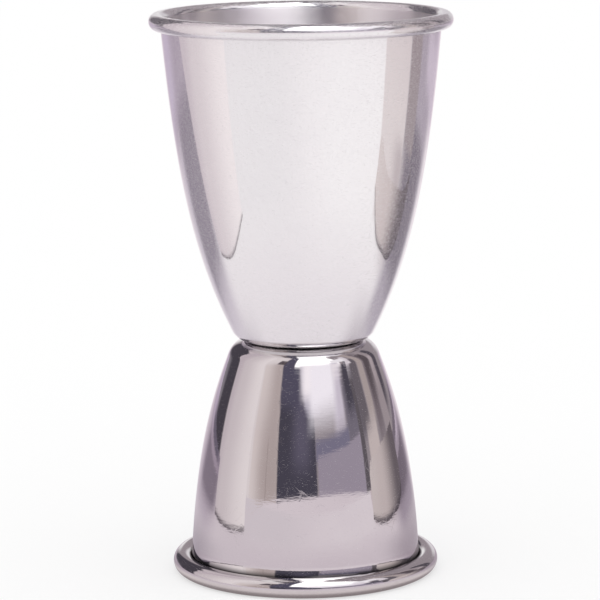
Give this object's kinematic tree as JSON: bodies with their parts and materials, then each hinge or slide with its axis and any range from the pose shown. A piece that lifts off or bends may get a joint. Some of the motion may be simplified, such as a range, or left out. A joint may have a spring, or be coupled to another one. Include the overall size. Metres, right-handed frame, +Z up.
{
  "type": "cocktail jigger",
  "caption": "Double-ended spirit measure: two polished steel cups of unequal size joined floor to floor, each with an outward curled rim, so that either cup can be the foot.",
  "frame": {"origin": "centre of the small cup's rim, on the surface that the object stands on", "axes": "+Z up along the axis of both cups, from the small cup to the large one; X and Y are any two directions square to it, with the picture taken from -Y"},
  "size_m": [0.0508, 0.0508, 0.095],
  "materials": {
    "large_cup_steel": "stainless steel, mirror polished outside, fine spun satin inside",
    "small_cup_steel": "stainless steel, mirror polished outside, fine spun satin inside",
    "weld_steel": "as welded, hidden between the two floors"
  },
  "bodies": {
    "root": {"large_cup": "large_cup_steel", "small_cup": "small_cup_steel", "spot_welds": "weld_steel"}
  },
  "joints": []
}
